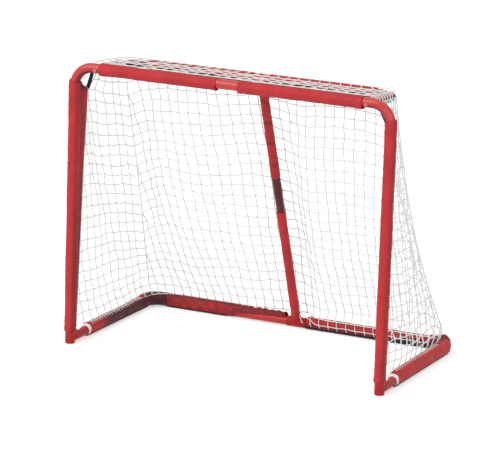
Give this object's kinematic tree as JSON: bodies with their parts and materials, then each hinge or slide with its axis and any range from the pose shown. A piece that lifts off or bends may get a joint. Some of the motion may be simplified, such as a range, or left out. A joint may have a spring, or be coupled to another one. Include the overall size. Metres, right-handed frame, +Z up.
{
  "type": "hockey goal",
  "caption": "Street-hockey goal: bent red tube frame with slip-on fabric sleeves, a centre strut, a shelf at the top and a white knotted net.",
  "frame": {"origin": "on the floor, in the middle of the goal's width and depth", "axes": "+X along the crossbar towards the right post as seen from the mouth, +Y from the mouth to the back, +Z up"},
  "size_m": [1.3296, 0.7213, 1.0988],
  "materials": {
    "red_paint": "glossy powder coat",
    "maroon_paint": "satin paint",
    "red_nylon": "woven nylon",
    "black_webbing": "woven webbing",
    "white_elastic": "ribbed elastic",
    "white_twine": "twisted twine",
    "zinc": "zinc plated",
    "red_plastic": "moulded"
  },
  "bodies": {
    "goal": {"frame_half_left": "red_paint", "frame_half_right": "red_paint", "crossbar_spigot": "red_paint", "foot_plug_left": "red_plastic", "foot_plug_right": "red_plastic", "foot_stub_left": "red_paint", "foot_stub_right": "red_paint", "snap_spring_left": "zinc", "snap_spring_right": "zinc", "base_bar_left": "red_paint", "base_bar_right": "red_paint", "rear_tee": "red_paint", "shelf_bar_left": "red_paint", "shelf_bar_right": "red_paint", "shelf_tee": "red_paint", "shelf_bolt_left": "red_paint", "shelf_bolt_right": "red_paint", "shelf_insert_left": "zinc", "shelf_insert_right": "zinc", "strut_upper": "red_paint", "strut_lower": "red_paint", "strut_coupling": "maroon_paint", "strut_sleeve_upper": "red_nylon", "strut_sleeve_lower": "red_nylon", "post_sleeve_left": "red_nylon", "post_sleeve_right": "red_nylon", "crossbar_sleeve_left": "red_nylon", "crossbar_sleeve_right": "red_nylon", "shelf_sleeve_left": "red_nylon", "shelf_sleeve_right": "red_nylon", "shelf_strip_left": "black_webbing", "shelf_strip_right": "black_webbing", "side_sleeve_left": "red_nylon", "side_sleeve_right": "red_nylon", "rear_sleeve_left": "red_nylon", "rear_sleeve_right": "red_nylon", "side_strip_left": "black_webbing", "side_strip_right": "black_webbing", "rear_strip_left": "black_webbing", "rear_strip_right": "black_webbing", "elastic_cuff_left": "white_elastic", "elastic_cuff_right": "white_elastic", "corner_strap_left": "black_webbing", "corner_strap_right": "black_webbing", "net_back": "white_twine", "net_top": "white_twine", "net_side_left": "white_twine", "net_side_right": "white_twine", "lacing_cord": "white_twine"},
    "snap_button_left": {"snap_button_left": "zinc"},
    "snap_button_right": {"snap_button_right": "zinc"}
  },
  "joints": [
    {"name": "snap_button_left_press", "type": "slide", "parent": "goal", "child": "snap_button_left", "axis": [0, 0, -1], "range_m": [0, 0.006], "stiffness_N_per_m": 1500, "springref_m": -0.001, "deforming": ["snap_spring_left"]},
    {"name": "snap_button_right_press", "type": "slide", "parent": "goal", "child": "snap_button_right", "axis": [0, 0, -1], "range_m": [0, 0.006], "stiffness_N_per_m": 1500, "springref_m": -0.001, "deforming": ["snap_spring_right"]}
  ]
}
